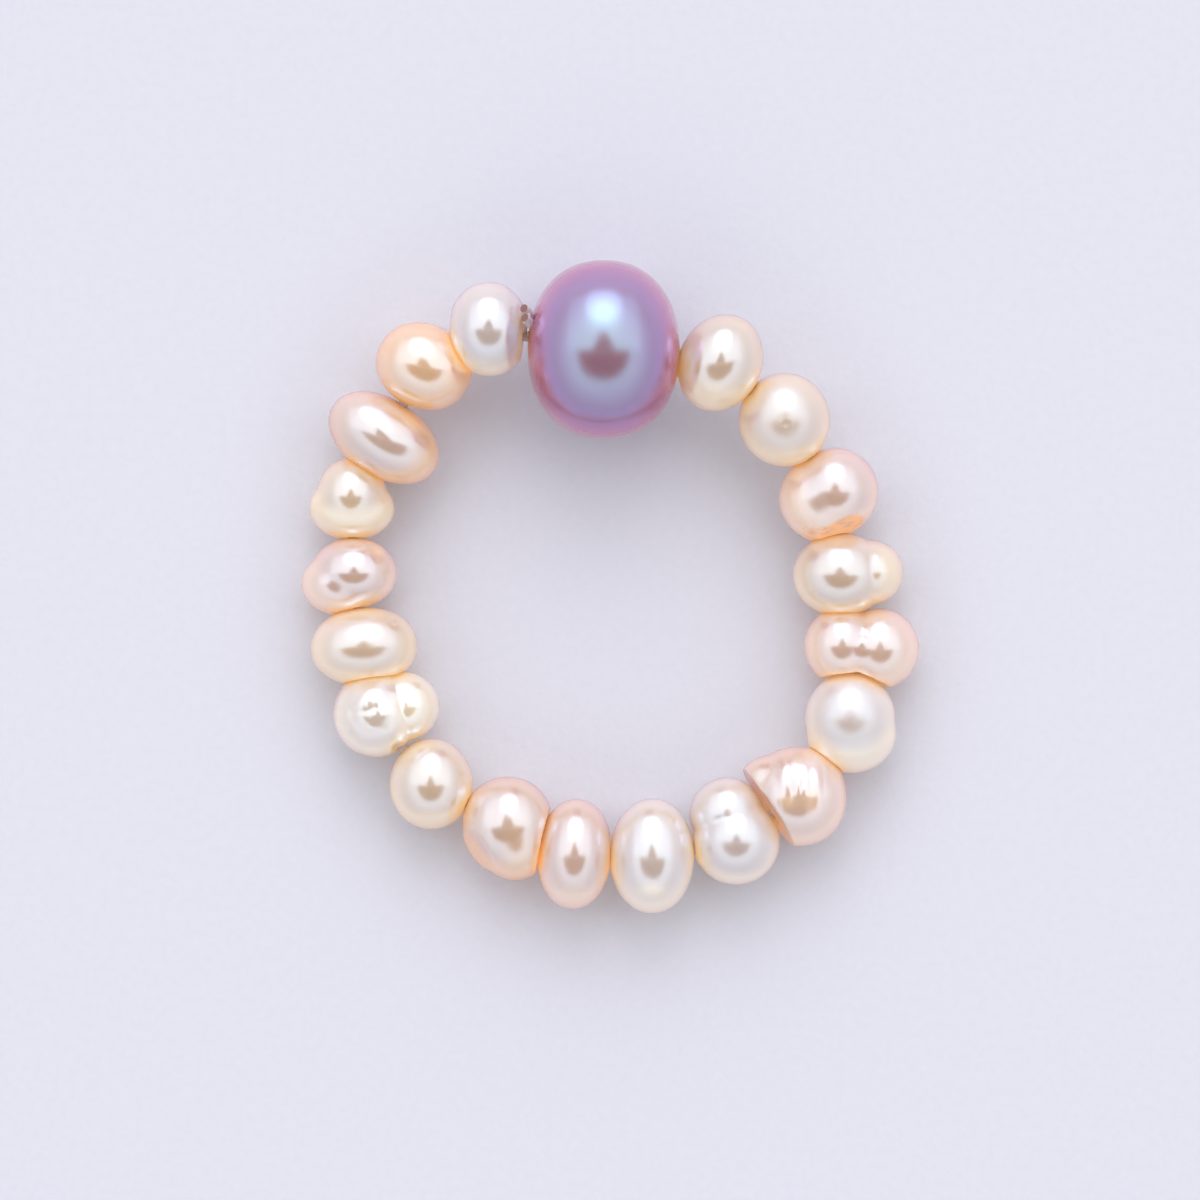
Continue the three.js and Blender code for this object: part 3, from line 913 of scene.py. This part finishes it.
def smooth_path(stops, steps, closed):
    """Points along a smooth curve through stops, steps of them for each stretch."""
    stops = np.array(stops, float)
    count = len(stops)
    path = []
    for i in range(count if closed else count - 1):
        picks = [i - 1, i, i + 1, i + 2]
        if closed:
            around = [pick % count for pick in picks]
        else:
            around = [min(max(pick, 0), count - 1) for pick in picks]
        a, b, c, d = stops[around]
        t = (np.arange(steps) / steps)[:, None]
        path.extend(0.5 * (
            2 * b + (c - a) * t + (2 * a - 5 * b + 4 * c - d) * t ** 2
            + (3 * b - a - 3 * c + d) * t ** 3
        ))
    if not closed:
        path.append(stops[-1])
    return np.array(path)


def make_cord(pearls):
    """The elastic cord: its loop through every pearl, and its knot with two cut ends."""
    stops = []
    for pearl in pearls:
        stops += [pearl.entry, (pearl.entry + pearl.exit) / 2]
    loop = smooth_path(stops, CORD_STEPS // len(stops), True)
    contact = pearls[-1].exit
    ball = contact + KNOT_PLACE
    turn = np.arange(TURN_STEPS) / TURN_STEPS * 2 * math.pi
    turns = ball + KNOT_TURNS * np.stack([
        np.sin(3 * turn),
        (np.cos(turn) - 2 * np.cos(2 * turn)) / 3,
        (np.sin(turn) + 2 * np.sin(2 * turn)) / 3,
    ], axis=-1)
    strand = [contact, (contact + ball) / 2, ball]
    # each line: its points, whether it closes, and its radius
    lines = [
        (loop, True, CORD_RADIUS),
        (turns, True, TURN_RADIUS),
        (smooth_path(strand, LINE_STEPS, False), False, STRAND_RADIUS),
    ]
    for end in CUT_ENDS:
        lines.append((smooth_path(np.array(end) + ball, LINE_STEPS, False), False, CUT_RADIUS))
    points, edges, girth, cut = [], [], [], []
    for path, closed, radius in lines:
        first = len(points)
        count = len(path)
        points.extend(path)
        edges += [(first + i, first + i + 1) for i in range(count - 1)]
        if closed:
            edges.append((first + count - 1, first))
        girth += [radius / CORD_RADIUS] * count
        # a cut end is cut at its last point
        cut += [0.0] * (count - 1) + [1.0 if radius == CUT_RADIUS else 0.0]
    attributes = {"girth": np.array(girth), "cut": np.array(cut)}
    mesh = mesh_from("cord", np.array(points) + GROUP_SHIFT, edges, [], attributes)
    shaped = shaped_by(round_thread(), mesh, {
        "Thickness": CORD_RADIUS * MM,
        "Sides": CORD_SIDES,
        "Finish": clear_elastic(),
    })
    place_mesh("elastic_thread", shaped, "elastic_cord")


# The camera: its sensor's width, how wide a strip it frames at a height above the paper, how
# far above that height it hangs, and over which place
SENSOR_WIDTH = 36.0
FRAME_WIDTH = 57.14
FOCUS_HEIGHT = 2.5
CAMERA_HEIGHT = 400.0
CAMERA_PLACE = (-0.476, -0.595)
CLIP = (0.02, 10)  # what it sees, from and to, in metres


def make_camera():
    """A long lens looking straight down at the ring."""
    data = bpy.data.cameras.new("camera")
    data.sensor_width = SENSOR_WIDTH
    data.lens = SENSOR_WIDTH * CAMERA_HEIGHT / FRAME_WIDTH
    data.clip_start, data.clip_end = CLIP
    camera = bpy.data.objects.new("camera", data)
    x, y = CAMERA_PLACE
    camera.location = (x * MM, y * MM, (CAMERA_HEIGHT + FOCUS_HEIGHT) * MM)
    bpy.context.scene.collection.objects.link(camera)
    bpy.context.scene.camera = camera


# How far the paper reaches each way, in metres
PAPER_REACH = 1.5


def make_floor():
    """A wide sheet of pale paper under the ring."""
    size = PAPER_REACH
    mesh = bpy.data.meshes.new("paper_floor")
    corners = [(-size, -size, 0), (size, -size, 0), (size, size, 0), (-size, size, 0)]
    mesh.from_pydata(corners, [], [(0, 1, 2, 3)])
    mesh.materials.append(paper())
    floor = bpy.data.objects.new("paper_floor", mesh)
    bpy.context.scene.collection.objects.link(floor)


# The soft box: its width and height in metres, its power in watts, and how far it leans over
# from straight above, in degrees
BOX_SIZE = (0.75, 0.9)
BOX_POWER = 1.3
BOX_TILT = 57


def make_light():
    """The bright middle of a soft box that hangs beyond the ring, a metre away."""
    data = bpy.data.lights.new("soft_box", "AREA")
    data.shape = "ELLIPSE"
    data.size, data.size_y = BOX_SIZE
    data.energy = BOX_POWER
    light = bpy.data.objects.new("soft_box", data)
    tilt = math.radians(BOX_TILT)
    light.location = (0, math.sin(tilt), math.cos(tilt))
    light.rotation_euler = (-tilt, 0, 0)
    bpy.context.scene.collection.objects.link(light)


# The room that the nacre mirrors. Each place in it is given by the slope of the surface that
# would mirror it straight up: u sideways, v away from the ring's foot. An oval is its middle's
# v, its half width and its half height. An edge is where a soft step starts and where it ends.
DARK_OVAL = (-0.02, 0.36, 0.37)
DARK_EDGE = (1.2, 0.55)
DARK_TOP = (0.02, -0.06)
CORNER_SLANT = 2.0
CORNER_EDGE = (0.24, 0.2)
CORNER_FOOT = (-0.05, -0.01)
SHEET_SIDES = (0.62, 0.5)
SHEET_FOOT = (-0.04, 0.0)
SHEET_TOP = (0.85, 0.65)
GLOW_OVAL = (0.48, 0.17, 0.23)
WALL_EDGE = (0.35, 0.9)
LEAST_DIVISOR = 0.01
# How bright the walls are overhead and how much less low down, what the sheet of the soft box
# and its glowing middle add, how much light the dark shape keeps back, and the light's colour
WALL_LEVEL = 1.16
WALL_FALL = -0.4
SHEET_LEVEL = 0.28
GLOW_LEVEL = 1.6
DARKNESS = 0.93
ROOM_COLOUR = "#F7F8FF"


def make_room():
    """The room that the nacre mirrors: pale walls, and the dark of whoever leans over it."""
    world = bpy.data.worlds.new("room")
    bpy.context.scene.world = world
    world.use_nodes = True
    tree = world.node_tree
    tree.nodes.clear()

    def ramp(value, edge):
        return ranged(tree, value, edge, interpolation_type="SMOOTHSTEP")

    way = add(tree, "ShaderNodeTexCoord").outputs["Generated"]
    split = add(tree, "ShaderNodeSeparateXYZ", {0: way}).outputs
    # straight down has no slope, so what the slopes are divided by is kept above nothing
    above = maths(tree, "MAXIMUM", maths(tree, "ADD", split["Z"], 1.0), LEAST_DIVISOR)
    u = maths(tree, "DIVIDE", split["X"], above)
    v = maths(tree, "DIVIDE", split["Y"], above)
    side = maths(tree, "ABSOLUTE", u)

    def oval(middle, half_width, half_height):
        across = maths(tree, "POWER", maths(tree, "DIVIDE", side, half_width), 2.0)
        along = maths(tree, "DIVIDE", maths(tree, "SUBTRACT", v, middle), half_height)
        return maths(tree, "MULTIPLY_ADD", along, along, across)

    figure = maths(tree, "MULTIPLY", ramp(oval(*DARK_OVAL), DARK_EDGE), ramp(v, DARK_TOP))
    slant = maths(tree, "MULTIPLY_ADD", side, CORNER_SLANT, v)
    corner = maths(tree, "MULTIPLY", ramp(slant, CORNER_EDGE), ramp(v, CORNER_FOOT))
    dark = maths(tree, "MAXIMUM", figure, corner)
    sheet = maths(tree, "MULTIPLY", ramp(side, SHEET_SIDES), ramp(v, SHEET_FOOT))
    sheet = maths(tree, "MULTIPLY", sheet, ramp(v, SHEET_TOP))
    glow = maths(tree, "EXPONENT", maths(tree, "MULTIPLY", oval(*GLOW_OVAL), -1.0))
    tilt = maths(tree, "MULTIPLY_ADD", u, u, maths(tree, "MULTIPLY", v, v))
    tilt = maths(tree, "SQRT", tilt)
    level = maths(tree, "MULTIPLY_ADD", ramp(tilt, WALL_EDGE), WALL_FALL, WALL_LEVEL)
    level = maths(tree, "MULTIPLY_ADD", sheet, SHEET_LEVEL, level)
    level = maths(tree, "MULTIPLY_ADD", glow, GLOW_LEVEL, level)
    kept = maths(tree, "SUBTRACT", 1.0, maths(tree, "MULTIPLY", dark, DARKNESS))
    level = maths(tree, "MULTIPLY", level, kept)
    light = add(
        tree, "ShaderNodeBackground", {"Color": linear(ROOM_COLOUR), "Strength": level},
    )
    add(tree, "ShaderNodeOutputWorld", {"Surface": light.outputs[0]})


bpy.context.scene.view_settings.view_transform = "Standard"
make_camera()
make_floor()
make_light()
make_room()
make_cord(make_pearls())
